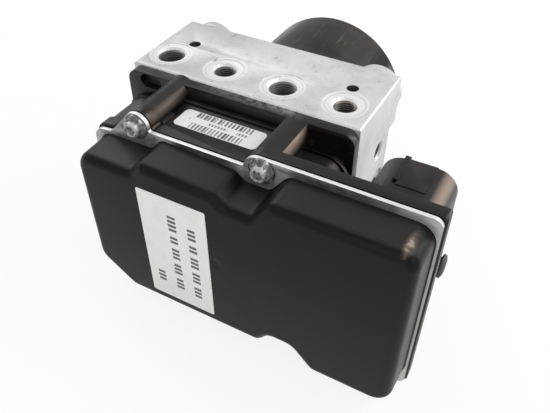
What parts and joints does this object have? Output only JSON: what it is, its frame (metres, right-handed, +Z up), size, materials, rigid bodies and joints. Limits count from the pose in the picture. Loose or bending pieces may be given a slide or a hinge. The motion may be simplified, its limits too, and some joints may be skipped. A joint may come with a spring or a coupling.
{
  "type": "anti-lock brake module",
  "caption": "Anti-lock brake module: machined aluminium valve block with pipe ports, black pump motor behind and a black control unit with a deep-drawn cover in front.",
  "frame": {"origin": "centre of the block's base face", "axes": "+X along the row of outlet ports, away from the ground ear; +Y from the control unit towards the motor; +Z up out of the outlet ports"},
  "size_m": [0.1421, 0.1404, 0.0894],
  "materials": {
    "block_aluminium": "fine milled faces with dark specks and an anodised haze",
    "zinc_steel": "dull grey zinc coating",
    "bright_steel": "ground",
    "dark_steel": "phosphated",
    "motor_black": "thin dark grey coating",
    "cover_coat": "satin black coating, bare aluminium at the flange",
    "housing_plastic": "black glass-filled moulding, fine grain",
    "dark_plastic": "plain moulded",
    "copper": "lacquered winding wire",
    "pin_metal": "tinned",
    "seal_rubber": "matte",
    "magnet": "sintered",
    "carbon": "pressed",
    "board_green": "solder-resist gloss",
    "label_paper": "printed film",
    "vent_grey": "dark grey moulded"
  },
  "bodies": {
    "module": {"accumulator_caps": "bright_steel", "accumulator_spring_left": "bright_steel", "accumulator_spring_right": "bright_steel", "bar_label": "label_paper", "block_bearing": "bright_steel", "board_parts": "dark_plastic", "brush_plate": "dark_plastic", "can_bearing": "bright_steel", "channel_balls": "bright_steel", "circuit_board": "board_green", "coil_yokes": "dark_steel", "connector_pins": "pin_metal", "cover_screws": "zinc_steel", "cover_seal": "seal_rubber", "ecu_cover": "cover_coat", "ecu_housing": "housing_plastic", "front_label": "label_paper", "housing_gasket": "seal_rubber", "inlet_valve_1": "bright_steel", "inlet_valve_2": "bright_steel", "inlet_valve_3": "bright_steel", "inlet_valve_4": "bright_steel", "motor_brushes": "carbon", "motor_can": "motor_black", "motor_gasket": "seal_rubber", "motor_lead": "dark_plastic", "motor_magnets": "magnet", "motor_screws": "zinc_steel", "outlet_valve_1": "bright_steel", "outlet_valve_2": "bright_steel", "outlet_valve_3": "bright_steel", "outlet_valve_4": "bright_steel", "pin_carrier": "dark_plastic", "pump_plugs": "bright_steel", "pump_sleeve_left": "bright_steel", "pump_sleeve_right": "bright_steel", "pump_spring_left": "bright_steel", "pump_spring_right": "bright_steel", "screw_bushes": "bright_steel", "solenoid_coils": "copper", "valve_block": "block_aluminium", "valve_springs": "bright_steel", "vent_plug": "vent_grey"},
    "rotor": {"motor_shaft": "bright_steel", "armature_core": "dark_steel", "armature_windings": "copper", "commutator": "copper", "eccentric_bearing": "bright_steel"},
    "pump_piston_left": {"pump_piston_left": "bright_steel"},
    "accumulator_piston_left": {"accumulator_piston_left": "bright_steel"},
    "pump_piston_right": {"pump_piston_right": "bright_steel"},
    "accumulator_piston_right": {"accumulator_piston_right": "bright_steel"},
    "inlet_plunger_1": {"inlet_plunger_1": "bright_steel"},
    "inlet_plunger_2": {"inlet_plunger_2": "bright_steel"},
    "inlet_plunger_3": {"inlet_plunger_3": "bright_steel"},
    "inlet_plunger_4": {"inlet_plunger_4": "bright_steel"},
    "outlet_plunger_1": {"outlet_plunger_1": "bright_steel"},
    "outlet_plunger_2": {"outlet_plunger_2": "bright_steel"},
    "outlet_plunger_3": {"outlet_plunger_3": "bright_steel"},
    "outlet_plunger_4": {"outlet_plunger_4": "bright_steel"}
  },
  "joints": [
    {"name": "motor_spin", "type": "hinge", "parent": "module", "child": "rotor", "pos_m": [0, 0, 0.0436], "axis": [0, 1, 0], "continuous": true},
    {"name": "pump_left_stroke", "type": "slide", "parent": "module", "child": "pump_piston_left", "axis": [-1, 0, 0], "range_m": [0, 0.0016], "stiffness_N_per_m": 300, "springref_m": -0.01, "deforming": ["pump_spring_left"]},
    {"name": "accumulator_left_travel", "type": "slide", "parent": "module", "child": "accumulator_piston_left", "axis": [0, 0, -1], "range_m": [0, 0.006], "stiffness_N_per_m": 100, "springref_m": -0.02, "deforming": ["accumulator_spring_left"]},
    {"name": "pump_right_stroke", "type": "slide", "parent": "module", "child": "pump_piston_right", "axis": [1, 0, 0], "range_m": [0, 0.0016], "stiffness_N_per_m": 300, "springref_m": -0.01, "deforming": ["pump_spring_right"]},
    {"name": "accumulator_right_travel", "type": "slide", "parent": "module", "child": "accumulator_piston_right", "axis": [0, 0, -1], "range_m": [0, 0.006], "stiffness_N_per_m": 100, "springref_m": -0.02, "deforming": ["accumulator_spring_right"]},
    {"name": "inlet_valve_1_lift", "type": "slide", "parent": "module", "child": "inlet_plunger_1", "axis": [0, 1, 0], "range_m": [0, 0.0004], "stiffness_N_per_m": 200, "springref_m": -0.005, "deforming": ["valve_springs"]},
    {"name": "inlet_valve_2_lift", "type": "slide", "parent": "module", "child": "inlet_plunger_2", "axis": [0, 1, 0], "range_m": [0, 0.0004], "stiffness_N_per_m": 200, "springref_m": -0.005, "deforming": ["valve_springs"]},
    {"name": "inlet_valve_3_lift", "type": "slide", "parent": "module", "child": "inlet_plunger_3", "axis": [0, 1, 0], "range_m": [0, 0.0004], "stiffness_N_per_m": 200, "springref_m": -0.005, "deforming": ["valve_springs"]},
    {"name": "inlet_valve_4_lift", "type": "slide", "parent": "module", "child": "inlet_plunger_4", "axis": [0, 1, 0], "range_m": [0, 0.0004], "stiffness_N_per_m": 200, "springref_m": -0.005, "deforming": ["valve_springs"]},
    {"name": "outlet_valve_1_lift", "type": "slide", "parent": "module", "child": "outlet_plunger_1", "axis": [0, -1, 0], "range_m": [0, 0.0004], "stiffness_N_per_m": 200, "springref_m": -0.005, "deforming": ["valve_springs"]},
    {"name": "outlet_valve_2_lift", "type": "slide", "parent": "module", "child": "outlet_plunger_2", "axis": [0, -1, 0], "range_m": [0, 0.0004], "stiffness_N_per_m": 200, "springref_m": -0.005, "deforming": ["valve_springs"]},
    {"name": "outlet_valve_3_lift", "type": "slide", "parent": "module", "child": "outlet_plunger_3", "axis": [0, -1, 0], "range_m": [0, 0.0004], "stiffness_N_per_m": 200, "springref_m": -0.005, "deforming": ["valve_springs"]},
    {"name": "outlet_valve_4_lift", "type": "slide", "parent": "module", "child": "outlet_plunger_4", "axis": [0, -1, 0], "range_m": [0, 0.0004], "stiffness_N_per_m": 200, "springref_m": -0.005, "deforming": ["valve_springs"]}
  ]
}
